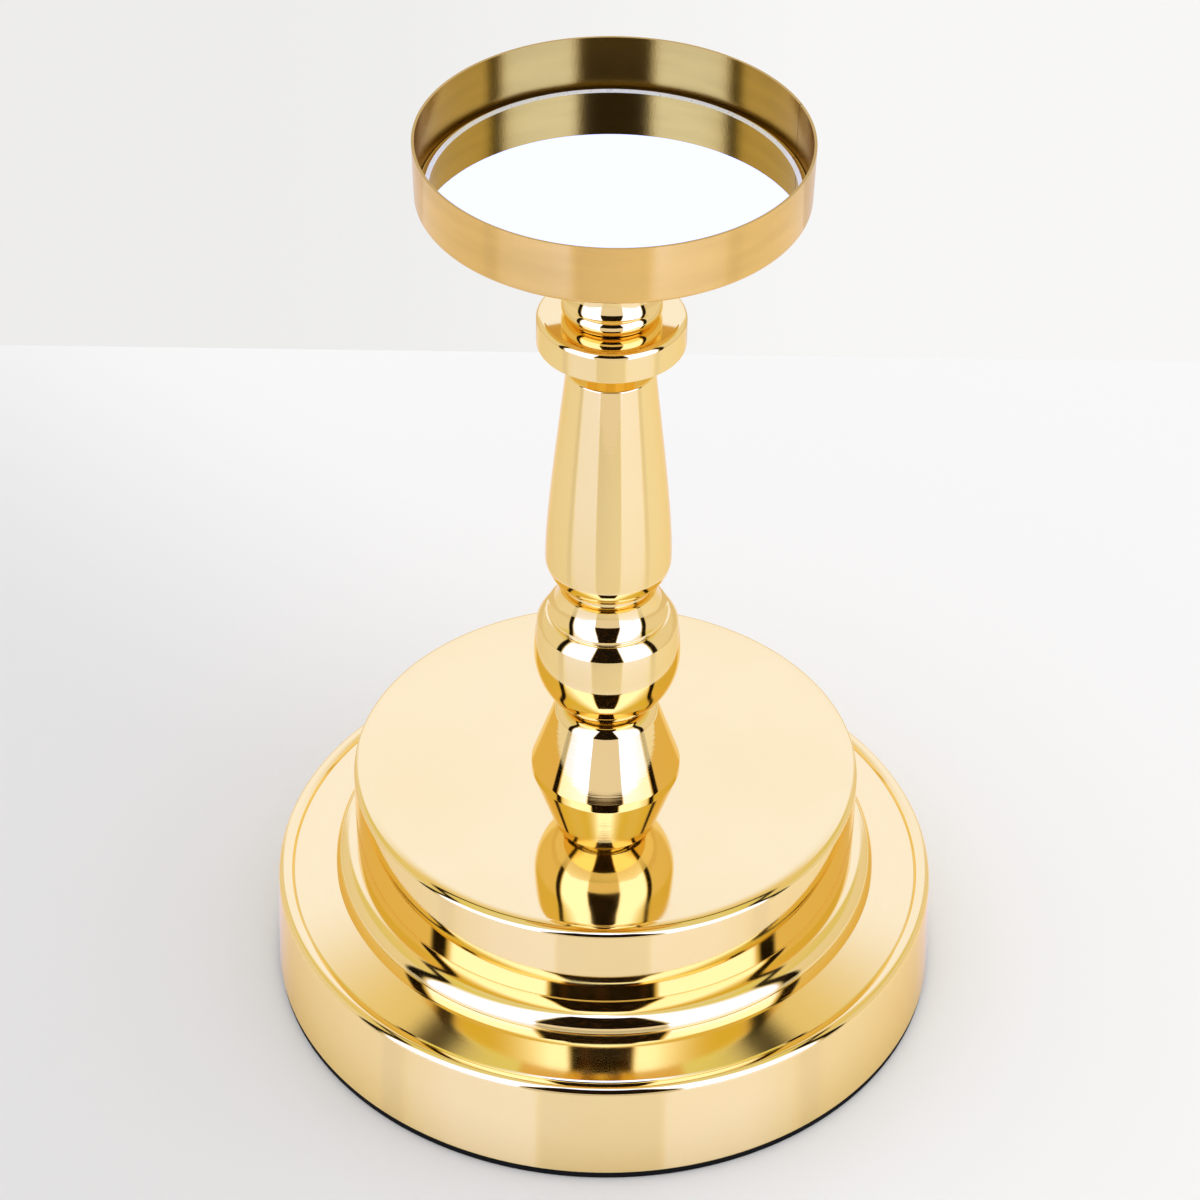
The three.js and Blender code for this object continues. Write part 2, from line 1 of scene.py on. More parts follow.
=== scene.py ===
import json
import math
import bpy
from mathutils import Matrix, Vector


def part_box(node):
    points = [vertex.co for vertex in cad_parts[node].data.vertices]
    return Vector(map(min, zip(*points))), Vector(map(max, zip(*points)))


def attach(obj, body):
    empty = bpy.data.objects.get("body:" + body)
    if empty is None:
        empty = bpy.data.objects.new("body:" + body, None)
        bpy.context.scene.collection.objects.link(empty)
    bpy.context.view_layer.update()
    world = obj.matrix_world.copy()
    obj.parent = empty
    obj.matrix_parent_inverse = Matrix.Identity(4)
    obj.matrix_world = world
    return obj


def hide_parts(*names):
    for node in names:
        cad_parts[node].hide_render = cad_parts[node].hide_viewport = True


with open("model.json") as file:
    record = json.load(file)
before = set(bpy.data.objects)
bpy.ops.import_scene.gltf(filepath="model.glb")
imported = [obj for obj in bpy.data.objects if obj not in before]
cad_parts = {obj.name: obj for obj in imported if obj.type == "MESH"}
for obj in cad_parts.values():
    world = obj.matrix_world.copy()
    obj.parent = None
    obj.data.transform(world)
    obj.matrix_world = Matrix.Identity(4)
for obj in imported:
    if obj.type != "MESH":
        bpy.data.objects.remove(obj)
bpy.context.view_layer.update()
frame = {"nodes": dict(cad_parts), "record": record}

# Profiles are drawn in millimetres, as (radius, height), and turned about Z
MM = 0.001
SHELL_SIDES = 192
STEM_SIDES = 144
ARC_STEPS = 12
EDGE_STEPS = 6
BEAD_STEPS = 28
INNER_CORNER_STEPS = 8
SWEEP_STEPS = 36
EDGE_SUPPORT = 0.12
SUPPORTED_LENGTH = 0.6
TINY = 1e-6

# Base
SHELL_GAUGE = 0.8
FELT_EDGE = 0.5
FELT_SPREAD = 0.8
DRUM_EDGE_WIDTH = 4.2
DRUM_EDGE_DROP = 1.7
RING_WIDTH = 6.0
RING_HEIGHT = 7.7
APRON_WIDTH = 11.9
APRON_FALL = 2.1
GROOVE_WIDTH = 0.8
GROOVE_DEPTH = 0.45
LEDGE_WIDTH = 1.8
LEDGE_CROWN = 0.25
PLINTH_EDGE_ROUND = 2.0
HEM_WIDTH = 6.0
LIP_GAP = 0.35

# Stem
ROD_BORE = 4.35
FOOT_RIM_HEIGHT = 1.3
FOOT_RIM_BREAK = 0.45
FOOT_CONE_ANGLE = 18.5
FOOT_SHOULDER_ROUND = 4.1
FOOT_RIM_WIDTH = 5.0
FOOT_RECESS_DEPTH = 1.0
LOWER_RING_EDGE = 0.4
UPPER_RING_UNDERCUT = 1.4
UPPER_RING_BROW = 2 / 3
KNOP_FOOT_INSET = 7.4
KNOP_BOWL_HEIGHT = 16.0
KNOP_BELT_HEIGHT = 10.5
KNOP_BELT_INSET = 0.8
KNOP_SHOULDER_HEIGHT = 3.25
KNOP_SHOULDER_INSET = 2.35
KNOP_GROOVE_HEIGHT = 1.5
KNOP_GROOVE_INSET = 0.45
KNOP_GROOVE_CUT = 0.2
KNOP_COVE_INSET = 3.25
BALUSTER_FOOT_INSET = 4.8
BALUSTER_BELLY_HEIGHT = 7.0
BALUSTER_TOP_RADIUS = 11.65
BALUSTER_EDGE = 0.4
BALUSTER_EDGE_START = 8.0
BALUSTER_NECK_RADIUS = 6.2
BALUSTER_NECK_HEIGHT = 8.05
COLLAR_TOP_ROUND = 1.7
COLLAR_BOTTOM_ROUND = 0.5
NECK_BEAD_RADIUS = 13.0
NECK_BEAD_HEIGHT = 5.3
NECK_BEAD_INSET = 2.3
NECK_GROOVE_DEPTH = 0.9
NECK_GROOVE_RISE = 0.35
NECK_COVE_RADIUS = 13.0
NECK_COVE_HEIGHT = 4.25
NECK_WAIST_RADIUS = 11.8
NECK_SEAT_THICKNESS = 1.6
ROD_SOCKET_DEPTH = 14.0
SCREW_BORE = 3.35
SCREW_BORE_DEPTH = 12.8
SINK_RADIUS = 7.34

# How each curve leaves its lower end and meets its upper one, as shares of the curve's width and height
DRUM_EDGE_PULLS = ((0, 0.73), (0.62, 0))
RING_PULLS = ((0, 0.66), (0.66, 0))
LEDGE_PULLS = ((0.33, 0), (0.33, 0.67))
CORNER_PULLS = ((0, 0.5), (1, 0.5))
BOWL_PULLS = ((0.7, 0.28), (0, 0.34))
BELT_PULLS = ((0, 0.33), (0.56, 0.25))
SHOULDER_PULLS = ((0.21, 0.35), (0.4, 0.26))
KNOP_COVE_PULLS = ((0.58, 0.22), (0.14, 0.55))
BELLY_PULLS = ((0.6, 0), (0, 0.38))
TAPER_PULLS = ((0, 0.23), (0.38, 0.33))
NECK_COVE_PULLS = ((0.5, 0.15), (0, 0.52))
FLARE_PULLS = ((0, 0.7), (1, 0))

# Tray
CUP_FLARE = 0.35
CUP_GAUGE = 0.7
CUP_CORNER_ROUND = 1.2
SCREW_HEAD_RADIUS = 6.35
MIRROR_SINK = 1.6
MIRROR_EDGE_WIDTH = 1.1
MIRROR_EDGE_RISE = 0.45
MIRROR_SLOT = 0.8


def reach(node):
    """Outer radius, lowest and highest level of a node, in millimetres."""
    low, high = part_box(node)
    return high.x / MM, low.z / MM, high.z / MM


# Turned profiles

def arc(radius, height, across, up, start, end, steps=ARC_STEPS):
    points = []
    for i in range(steps + 1):
        angle = math.radians(start + (end - start) * i / steps)
        points.append((radius + across * math.cos(angle), height + up * math.sin(angle)))
    return points


def round_arc(radius, height, size, start, end, steps=ARC_STEPS):
    return arc(radius, height, size, size, start, end, steps)


def sweep(start, end, pulls, steps=SWEEP_STEPS):
    """Points along a cubic curve, pulled at each end by shares of its width and height."""
    (leave_across, leave_up), (meet_across, meet_up) = pulls
    across = end[0] - start[0]
    up = end[1] - start[1]
    leave = (start[0] + across * leave_across, start[1] + up * leave_up)
    meet = (end[0] - across * meet_across, end[1] - up * meet_up)
    points = []
    for i in range(steps + 1):
        t = i / steps
        weights = ((1 - t) ** 3, 3 * t * (1 - t) ** 2, 3 * t * t * (1 - t), t ** 3)
        places = (start, leave, meet, end)
        radius = sum(w * p[0] for w, p in zip(weights, places))
        height = sum(w * p[1] for w, p in zip(weights, places))
        points.append((radius, height))
    return points


def supported(points):
    """The same run, with an extra point close to each end of its long straight stretches."""
    result = [points[0]]
    for a, b in zip(points, points[1:]):
        length = math.dist(a, b)
        if length < TINY:
            continue
        if length > SUPPORTED_LENGTH:
            for share in (EDGE_SUPPORT / length, 1 - EDGE_SUPPORT / length):
                result.append((a[0] + (b[0] - a[0]) * share, a[1] + (b[1] - a[1]) * share))
        result.append(b)
    return result


def turned(name, runs, sides):
    """Mesh of revolution from smooth runs that follow each other; where two runs meet, the edge is sharp.
    Each face remembers its run in the attribute run, so that a run can have a material of its own."""
    points = []
    owners = []
    sharp_rings = set()
    for index, run in enumerate(runs):
        fine = supported(run)
        if points:
            sharp_rings.add(len(points) - 1)
            fine = fine[1:]
            owners.extend([index] * len(fine))
        else:
            owners.extend([index] * (len(fine) - 1))
        points.extend(fine)
    on_axis = points[0][0] < TINY and points[-1][0] < TINY
    if not on_axis:
        sharp_rings.add(0)
        if math.dist(points[0], points[-1]) < TINY:
            points.pop()
        else:
            owners.append(len(runs) - 1)
            sharp_rings.add(len(points) - 1)
    verts = []
    ring_start = []
    for radius, height in points:
        ring_start.append(len(verts))
        if radius < TINY:
            verts.append((0, 0, height * MM))
            continue
        for s in range(sides):
            angle = 2 * math.pi * s / sides
            verts.append((radius * MM * math.cos(angle), radius * MM * math.sin(angle), height * MM))
    faces = []
    face_runs = []
    sharp_edges = set()
    count = len(points)
    for i, owner in enumerate(owners):
        j = (i + 1) % count
        for s in range(sides):
            n = (s + 1) % sides
            lower_pole = points[i][0] < TINY
            upper_pole = points[j][0] < TINY
            if lower_pole:
                corners = (ring_start[i], ring_start[j] + n, ring_start[j] + s)
            elif upper_pole:
                corners = (ring_start[i] + s, ring_start[i] + n, ring_start[j])
            else:
                corners = (ring_start[i] + s, ring_start[i] + n, ring_start[j] + n, ring_start[j] + s)
            faces.append(corners)
            face_runs.append(owner)
    for i in sharp_rings:
        if points[i][0] < TINY:
            continue
        for s in range(sides):
            sharp_edges.add(frozenset((ring_start[i] + s, ring_start[i] + (s + 1) % sides)))
    mesh = bpy.data.meshes.new(name)
    mesh.from_pydata(verts, [], faces)
    mesh.validate()
    mesh.shade_smooth()
    mesh.attributes.new("run", "INT", "FACE").data.foreach_set("value", face_runs)
    sharp = [frozenset(edge.vertices) in sharp_edges for edge in mesh.edges]
    mesh.attributes.new("sharp_edge", "BOOLEAN", "EDGE").data.foreach_set("value", sharp)
    mesh.update()
    piece = bpy.data.objects.new(name, mesh)
    bpy.context.scene.collection.objects.link(piece)
    return piece


def fit(piece, node, slot, *materials, by_run=None):
    """Gives a turned piece its finishes and lets it stand for its node; by_run maps runs to finishes."""
    for material in materials:
        piece.data.materials.append(material)
    if by_run:
        runs = piece.data.attributes["run"].data
        for polygon in piece.data.polygons:
            polygon.material_index = by_run.get(runs[polygon.index].value, 0)
    piece.data.attributes.remove(piece.data.attributes["run"])
    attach(piece, "root")
    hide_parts(node)


# Node trees

class Tree:
    """Short calls for building a node tree."""

    def __init__(self, tree):
        self.tree = tree
        self.tree.nodes.clear()

    def node(self, kind, **settings):
        made = self.tree.nodes.new(kind)
        for key, value in settings.items():
            setattr(made, key, value)
        return made

    def link(self, source, target):
        self.tree.links.new(source, target)

    def feed(self, socket, value):
        if isinstance(value, bpy.types.NodeSocket):
            self.link(value, socket)
        else:
            socket.default_value = value

    def math(self, operation, *values):
        made = self.node("ShaderNodeMath", operation=operation)
        for socket, value in zip(made.inputs, values):
            self.feed(socket, value)
        return made.outputs[0]

    def span(self, value, low, high, to_low=0.0, to_high=1.0, smooth=True):
        kind = "SMOOTHSTEP" if smooth else "LINEAR"
        made = self.node("ShaderNodeMapRange", interpolation_type=kind)
        for socket, given in zip(made.inputs, (value, low, high, to_low, to_high)):
            self.feed(socket, given)
        return made.outputs[0]

    def band(self, value, low, high, soft):
        rise = self.span(value, low - soft, low + soft)
        fall = self.span(value, high - soft, high + soft, 1.0, 0.0)
        return self.math("MULTIPLY", rise, fall)

    def mix(self, factor, first, second):
        made = self.node("ShaderNodeMix", data_type="RGBA")
        self.feed(made.inputs[0], factor)
        self.feed(made.inputs[6], first)
        self.feed(made.inputs[7], second)
        return made.outputs[2]

    def noise(self, vector, scale, detail=2.0, roughness=0.5):
        made = self.node("ShaderNodeTexNoise")
        self.link(vector, made.inputs["Vector"])
        made.inputs["Scale"].default_value = scale
        made.inputs["Detail"].default_value = detail
        made.inputs["Roughness"].default_value = roughness
        return made.outputs[0]

    def stretch(self, vector, scale):
        made = self.node("ShaderNodeVectorMath", operation="MULTIPLY")
        self.link(vector, made.inputs[0])
        made.inputs[1].default_value = scale
        return made.outputs[0]

    def bump(self, height, distance):
        made = self.node("ShaderNodeBump")
        made.inputs["Strength"].default_value = 1.0
        made.inputs["Distance"].default_value = distance
        self.link(height, made.inputs["Height"])
        return made.outputs[0]


def new_material(name):
    material = bpy.data.materials.new(name)
    material.use_nodes = True
    tree = Tree(material.node_tree)
    shader = tree.node("ShaderNodeBsdfPrincipled")
    output = tree.node("ShaderNodeOutputMaterial")
    tree.link(shader.outputs[0], output.inputs[0])
    place = tree.node("ShaderNodeTexCoord").outputs["Object"]
    return material, tree, shader, place


def radius_and_height(tree, place):
    """Distance from the stem's axis, and height, as two values in metres."""
    split = tree.node("ShaderNodeSeparateXYZ")
    tree.link(place, split.inputs[0])
    x, y, z = split.outputs
    square = tree.math("ADD", tree.math("MULTIPLY", x, x), tree.math("MULTIPLY", y, y))
    return tree.math("SQRT", square), z


# Finishes: colours, bump depths in metres, noise scales per metre, and the seam's angles in degrees
GOLD = (0.95, 0.75, 0.30, 1.0)
GOLD_WARM = (0.94, 0.73, 0.28, 1.0)
GOLD_EDGE = (0.96, 0.84, 0.6, 1.0)
TONE_SPAN = (0.3, 0.7)
SHEET_TONE_SCALE = 18.0
WIPE_STRETCH = (1.0, 1.0, 4.0)
WIPE_SCALE = 60.0
WIPE_SPAN = (0.35, 0.75)
SHEET_ROUGHNESS = (0.035, 0.075)
PRESS_WAVE_SCALE = 30.0
PRESS_WAVE_DEPTH = 0.00002
TURNED_TONE_SCALE = 25.0
TURNED_ROUGHNESS = 0.045
LATHE_STRETCH = (2.0, 2.0, 1800.0)
LATHE_DEPTH = 0.000003
FOOT_LATHE_DEPTH = 0.000013
ACROSS_THE_GRAIN = 0.25
APRON_LINES = 2600.0
APRON_DRIFT = 3.0
APRON_ROUGHNESS = 0.07
APRON_SPREAD = 0.8
APRON_GRAIN = 0.000003
CUP_GOLD = (0.85, 0.565, 0.165, 1.0)
# The inside's gold is a darker copy of the cup's gold: painted shade in the cup's hollow
CUP_INNER_GOLD_PAINTED_SHADE = (0.56, 0.35, 0.06, 1.0)
CUP_DARKER = 0.9
CUP_TONE_STRETCH = (30.0, 30.0, 200.0)
CUP_SPECKLE_STRETCH = (1.0, 1.0, 0.5)
CUP_SPECKLE_SCALE = 2200.0
CUP_ROUGHNESS = 0.14
CUP_SPREAD = 0.7
CUP_GRAIN = 0.000003
CUP_INNER_ROUGHNESS = 0.2
CUP_INNER_SPREAD = 0.85
CUP_INNER_GRAIN = 0.000015
CUP_SEAM = (0.15, 0.10, 0.02, 1.0)
CUP_SEAM_ANGLE = 20.5
CUP_SEAM_HALF = 0.2
CUP_SEAM_SOFT = 0.1
SILVER = (0.93, 0.94, 0.94, 1.0)
SILVER_HAZE_SCALE = 40.0
SILVER_HAZE_SPAN = (0.4, 0.8)
SILVER_ROUGHNESS = (0.0, 0.02)
# The ground edge's pale colour is partly its own and partly a painted highlight of the glass edge
GROUND_GLASS_AND_HIGHLIGHT = (0.92, 0.94, 0.93, 1.0)
GROUND_GLASS_METALLIC = 0.3
GROUND_GLASS_ROUGHNESS = (0.25, 0.5)
GRIT_SCALE = 900.0
GRIT_DEPTH = 0.00002
FELT_DARK = (0.003, 0.003, 0.003, 1.0)
FELT_PALE = (0.012, 0.012, 0.012, 1.0)
FELT_FIBRE_SCALE = 1500.0
FELT_FIBRE_DEPTH = 0.0003
FELT_ROUGHNESS = 0.95
FELT_SHEEN = 0.03
FELT_SHINE = 0.05
ZINC_DARK = (0.5, 0.51, 0.53, 1.0)
ZINC_PALE = (0.72, 0.73, 0.75, 1.0)
ZINC_SPANGLE_SCALE = 300.0
ZINC_ROUGHNESS = (0.25, 0.4)
BOARD_DARK = (0.16, 0.09, 0.045, 1.0)
BOARD_PALE = (0.33, 0.2, 0.1, 1.0)
BOARD_STRETCH = (1.0, 1.4, 1.0)
BOARD_FIBRE_SCALE = 700.0
BOARD_FIBRE_DEPTH = 0.0001
BOARD_ROUGHNESS = 0.8
FOAM_DARK = (0.6, 0.59, 0.54, 1.0)
FOAM_PALE = (0.8, 0.79, 0.75, 1.0)
FOAM_CELL_SCALE = 2000.0
FOAM_ROUGHNESS = 0.75


def polished_gold():
    """Plated sheet: a deep polish with slight waviness from the press and a film of fine wiping marks."""
    material, tree, shader, place = new_material("polished_gold")
    tone = tree.noise(place, SHEET_TONE_SCALE, detail=3.0)
    tree.link(tree.mix(tree.span(tone, *TONE_SPAN), GOLD, GOLD_WARM), shader.inputs["Base Color"])
    shader.inputs["Metallic"].default_value = 1.0
    wipe = tree.noise(tree.stretch(place, WIPE_STRETCH), WIPE_SCALE, detail=4.0)
    tree.link(tree.span(wipe, *WIPE_SPAN, *SHEET_ROUGHNESS), shader.inputs["Roughness"])
    shader.inputs["Specular Tint"].default_value = GOLD_EDGE
    wave = tree.noise(place, PRESS_WAVE_SCALE, detail=1.0)
    tree.link(tree.bump(wave, PRESS_WAVE_DEPTH), shader.inputs["Normal"])
    return material


def turned_gold(name, depth):
    """Plated turnings: polished, with the lathe's fine rings left in places."""
    material, tree, shader, place = new_material(name)
    tone = tree.noise(place, TURNED_TONE_SCALE, detail=3.0)
    tree.link(tree.mix(tree.span(tone, *TONE_SPAN), GOLD, GOLD_WARM), shader.inputs["Base Color"])
    shader.inputs["Metallic"].default_value = 1.0
    shader.inputs["Roughness"].default_value = TURNED_ROUGHNESS
    shader.inputs["Specular Tint"].default_value = GOLD_EDGE
    rings = tree.noise(tree.stretch(place, LATHE_STRETCH), 1.0, detail=2.0)
    tree.link(tree.bump(rings, depth), shader.inputs["Normal"])
    return material


def brush_round(tree, shader, roughness, spread):
    """A grain that runs round the stem's axis and so blurs reflections across itself."""
    shader.inputs["Roughness"].default_value = roughness
    shader.inputs["Anisotropic"].default_value = spread
    shader.inputs["Anisotropic Rotation"].default_value = ACROSS_THE_GRAIN
    tangent = tree.node("ShaderNodeTangent", direction_type="RADIAL", axis="Z")
    tree.link(tangent.outputs[0], shader.inputs["Tangent"])


def brushed_gold():
    """The plinth's apron, brushed round and round."""
    material, tree, shader, place = new_material("brushed_gold")
    radius, height = radius_and_height(tree, place)
    lines = tree.node("ShaderNodeCombineXYZ")
    tree.link(tree.math("MULTIPLY", radius, APRON_LINES), lines.inputs[0])
    tree.link(tree.math("MULTIPLY", height, APRON_DRIFT), lines.inputs[1])
    streak = tree.noise(lines.outputs[0], 1.0, detail=4.0, roughness=0.7)
    tree.link(tree.mix(tree.span(streak, *TONE_SPAN), GOLD, GOLD_WARM), shader.inputs["Base Color"])
    shader.inputs["Metallic"].default_value = 1.0
    brush_round(tree, shader, APRON_ROUGHNESS, APRON_SPREAD)
    tree.link(tree.bump(streak, APRON_GRAIN), shader.inputs["Normal"])
    return material


def cup_gold(name, colour, roughness, spread, grain, seam=None):
    """Thin rolled sheet of the tray: satin, with a fine grain and, where given, the seam of the strip."""
    material, tree, shader, place = new_material(name)
    tone = tree.noise(tree.stretch(place, CUP_TONE_STRETCH), 1.0, detail=3.0)
    darker = tuple(CUP_DARKER * c for c in colour[:3]) + (1.0,)
    finish = tree.mix(tree.span(tone, *TONE_SPAN), colour, darker)
    if seam is not None:
        split = tree.node("ShaderNodeSeparateXYZ")
        tree.link(place, split.inputs[0])
        angle = tree.math("DEGREES", tree.math("ARCTAN2", split.outputs[1], split.outputs[0]))
        line = tree.band(angle, seam - CUP_SEAM_HALF, seam + CUP_SEAM_HALF, CUP_SEAM_SOFT)
        finish = tree.mix(line, finish, CUP_SEAM)
    tree.link(finish, shader.inputs["Base Color"])
    shader.inputs["Metallic"].default_value = 1.0
    brush_round(tree, shader, roughness, spread)
    speckled = tree.stretch(place, CUP_SPECKLE_STRETCH)
    speckle = tree.noise(speckled, CUP_SPECKLE_SCALE, detail=3.0, roughness=0.6)
    tree.link(tree.bump(speckle, grain), shader.inputs["Normal"])
    return material


def mirror_glass():
    material, tree, shader, place = new_material("mirror_silver")
    haze = tree.noise(place, SILVER_HAZE_SCALE, detail=4.0)
    tree.link(tree.span(haze, *SILVER_HAZE_SPAN, *SILVER_ROUGHNESS), shader.inputs["Roughness"])
    shader.inputs["Base Color"].default_value = SILVER
    shader.inputs["Metallic"].default_value = 1.0
    return material


def ground_glass():
    material, tree, shader, place = new_material("ground_glass_edge_painted_highlight")
    grit = tree.noise(place, GRIT_SCALE, detail=4.0)
    tree.link(tree.span(grit, *TONE_SPAN, *GROUND_GLASS_ROUGHNESS), shader.inputs["Roughness"])
    # Pale colour partly the ground edge's own, partly a painted highlight
    shader.inputs["Base Color"].default_value = GROUND_GLASS_AND_HIGHLIGHT
    shader.inputs["Metallic"].default_value = GROUND_GLASS_METALLIC
    tree.link(tree.bump(grit, GRIT_DEPTH), shader.inputs["Normal"])
    return material


def felt():
    material, tree, shader, place = new_material("black_felt")
    fibre = tree.noise(place, FELT_FIBRE_SCALE, detail=5.0, roughness=0.7)
    tree.link(tree.mix(fibre, FELT_DARK, FELT_PALE), shader.inputs["Base Color"])
    shader.inputs["Roughness"].default_value = FELT_ROUGHNESS
    shader.inputs["Sheen Weight"].default_value = FELT_SHEEN
    shader.inputs["Specular IOR Level"].default_value = FELT_SHINE
    tree.link(tree.bump(fibre, FELT_FIBRE_DEPTH), shader.inputs["Normal"])
    return material


def zinc():
    material, tree, shader, place = new_material("bright_zinc")
    spangle = tree.noise(place, ZINC_SPANGLE_SCALE, detail=3.0)
    tree.link(tree.mix(spangle, ZINC_DARK, ZINC_PALE), shader.inputs["Base Color"])
    shader.inputs["Metallic"].default_value = 1.0
    tree.link(tree.span(spangle, *TONE_SPAN, *ZINC_ROUGHNESS), shader.inputs["Roughness"])
    return material


def hardboard():
    material, tree, shader, place = new_material("hardboard")
    fibre = tree.noise(tree.stretch(place, BOARD_STRETCH), BOARD_FIBRE_SCALE, detail=6.0, roughness=0.7)
    tree.link(tree.mix(fibre, BOARD_DARK, BOARD_PALE), shader.inputs["Base Color"])
    shader.inputs["Roughness"].default_value = BOARD_ROUGHNESS
    tree.link(tree.bump(fibre, BOARD_FIBRE_DEPTH), shader.inputs["Normal"])
    return material


def foam_tape():
    material, tree, shader, place = new_material("foam_tape")
    cells = tree.noise(place, FOAM_CELL_SCALE, detail=2.0)
    tree.link(tree.mix(cells, FOAM_DARK, FOAM_PALE), shader.inputs["Base Color"])
    shader.inputs["Roughness"].default_value = FOAM_ROUGHNESS
    return material


polished = polished_gold()
lathe_gold = turned_gold("turned_gold", LATHE_DEPTH)
ringed_gold = turned_gold("ringed_gold", FOOT_LATHE_DEPTH)
brushed = brushed_gold()
cup_outer = cup_gold("cup_gold_outer", CUP_GOLD, CUP_ROUGHNESS, CUP_SPREAD, CUP_GRAIN)
# The inside gets the darker gold: painted shade in the hollow of the cup
cup_inner = cup_gold(
    "cup_gold_inner_painted_shade",
    CUP_INNER_GOLD_PAINTED_SHADE,
    CUP_INNER_ROUGHNESS,
    CUP_INNER_SPREAD,
    CUP_INNER_GRAIN,
    CUP_SEAM_ANGLE,
)


# Base

def make_felt():
    node_radius, bottom, top = reach("felt_pad")
    radius = node_radius + FELT_SPREAD
    runs = [
        [(0, bottom), (radius - FELT_EDGE, bottom)]
        + round_arc(radius - FELT_EDGE, bottom + FELT_EDGE, FELT_EDGE, -90, 0, EDGE_STEPS),
        [(radius, bottom + FELT_EDGE), (radius, top)],
        [(radius, top), (0, top)],
    ]
    fit(turned("felt", runs, SHELL_SIDES), "felt_pad", "felt", felt())


def make_plinth():
    gauge = SHELL_GAUGE
    foot_radius, foot, lip_top = reach("plinth_shell")
    drum_radius, ring_top, _ = reach("drum_shell")
    ring_radius = drum_radius + RING_WIDTH
    apron_radius = ring_radius + APRON_WIDTH
    ledge_radius = apron_radius + GROOVE_WIDTH
    edge_centre = ledge_radius + LEDGE_WIDTH
    apron_top = ring_top - RING_HEIGHT
    apron_foot = apron_top - APRON_FALL
    ledge_top = apron_foot + GROOVE_DEPTH
    ledge_foot = (ledge_radius, ledge_top - LEDGE_CROWN)
    groove_floor = (ledge_radius - GROOVE_WIDTH / 2, apron_foot - GROOVE_DEPTH / 2)
    wall_top = ledge_top - PLINTH_EDGE_ROUND
    lip = drum_radius - gauge - LIP_GAP
    hem = foot_radius - HEM_WIDTH
    ring = sweep((ring_radius, apron_top), (drum_radius, ring_top), RING_PULLS)
    inside_foot = (ring_radius - gauge, apron_top - gauge)
    ring_inside = sweep(inside_foot, (drum_radius, ring_top - gauge), RING_PULLS)
    ring_inside.reverse()
    runs = [
        [(hem, foot)]
        + round_arc(foot_radius - gauge, foot + gauge, gauge, -90, 0, EDGE_STEPS)
        + round_arc(edge_centre, wall_top, PLINTH_EDGE_ROUND, 0, 90)
        + sweep((edge_centre, ledge_top), ledge_foot, LEDGE_PULLS, ARC_STEPS),
        [ledge_foot, groove_floor],
        [groove_floor, (apron_radius, apron_foot)],
        [(apron_radius, apron_foot), (ring_radius, apron_top)],
        ring + [(lip, ring_top)],
        [(lip, ring_top), (lip, lip_top)],
        [(lip, lip_top), (lip - gauge, lip_top)],
        [(lip - gauge, lip_top), (lip - gauge, ring_top - gauge)],
        [(lip - gauge, ring_top - gauge)] + ring_inside,
        [inside_foot, (apron_radius, apron_foot - GROOVE_DEPTH - gauge)]
        + round_arc(edge_centre, wall_top, PLINTH_EDGE_ROUND - gauge, 90, 0)
        + [(foot_radius - gauge, foot + gauge)],
        [(foot_radius - gauge, foot + gauge), (hem, foot + gauge)],
    ]
    piece = turned("plinth", runs, SHELL_SIDES)
    fit(piece, "plinth_shell", "gold_sheet", polished, brushed, by_run={3: 1})


def make_drum():
    gauge = SHELL_GAUGE
    radius, bottom, top = reach("drum_shell")
    flat = radius - DRUM_EDGE_WIDTH
    edge = sweep((radius, top - DRUM_EDGE_DROP), (flat, top), DRUM_EDGE_PULLS)
    inside_edge_foot = (radius - gauge, top - gauge - DRUM_EDGE_DROP)
    edge_inside = sweep(inside_edge_foot, (flat, top - gauge), DRUM_EDGE_PULLS)
    edge_inside.reverse()
    runs = [
        [(radius - gauge, bottom), (radius, bottom)],
        [(radius, bottom)] + edge + [(ROD_BORE, top)],
        [(ROD_BORE, top), (ROD_BORE, top - gauge)],
        [(ROD_BORE, top - gauge)] + edge_inside + [(radius - gauge, bottom)],
    ]
    fit(turned("drum", runs, SHELL_SIDES), "drum_shell", "gold_sheet", polished)


# Stem

def make_foot():
    radius, bottom, top = reach("stem_foot")
    rim_top = bottom + FOOT_RIM_HEIGHT
    slope = math.radians(FOOT_CONE_ANGLE)
    cone_top = top - FOOT_SHOULDER_ROUND * (1 - math.sin(slope))
    cone_radius = radius - (cone_top - rim_top) * math.tan(slope)
    shoulder_centre = cone_radius - FOOT_SHOULDER_ROUND * math.cos(slope)
    shoulder_level = top - FOOT_SHOULDER_ROUND
    recess_top = bottom + FOOT_RECESS_DEPTH
    recess_radius = radius - FOOT_RIM_WIDTH
    rim_edge = sweep(
        (radius, rim_top - FOOT_RIM_BREAK),
        (radius - FOOT_RIM_BREAK * math.tan(slope), rim_top + FOOT_RIM_BREAK),
        CORNER_PULLS,
        ARC_STEPS,
    )
    runs = [
        [(ROD_BORE, recess_top), (recess_radius, recess_top)],
        [(recess_radius, recess_top), (recess_radius, bottom)],
        [(recess_radius, bottom), (radius, bottom)],
        [(radius, bottom)]
        + rim_edge
        + round_arc(shoulder_centre, shoulder_level, FOOT_SHOULDER_ROUND, FOOT_CONE_ANGLE, 90)
        + [(ROD_BORE, top)],
    ]
    fit(turned("foot", runs, STEM_SIDES), "stem_foot", "gold_turned", ringed_gold)


def make_lower_ring():
    radius, bottom, top = reach("lower_ring")
    side = radius - LOWER_RING_EDGE
    runs = [
        [(ROD_BORE, bottom)]
        + round_arc(side, bottom + LOWER_RING_EDGE, LOWER_RING_EDGE, -90, 0, EDGE_STEPS)
        + round_arc(side, top - LOWER_RING_EDGE, LOWER_RING_EDGE, 0, 90, EDGE_STEPS)
        + [(ROD_BORE, top)],
    ]
    fit(turned("ring_below_knop", runs, STEM_SIDES), "lower_ring", "gold_turned", lathe_gold)


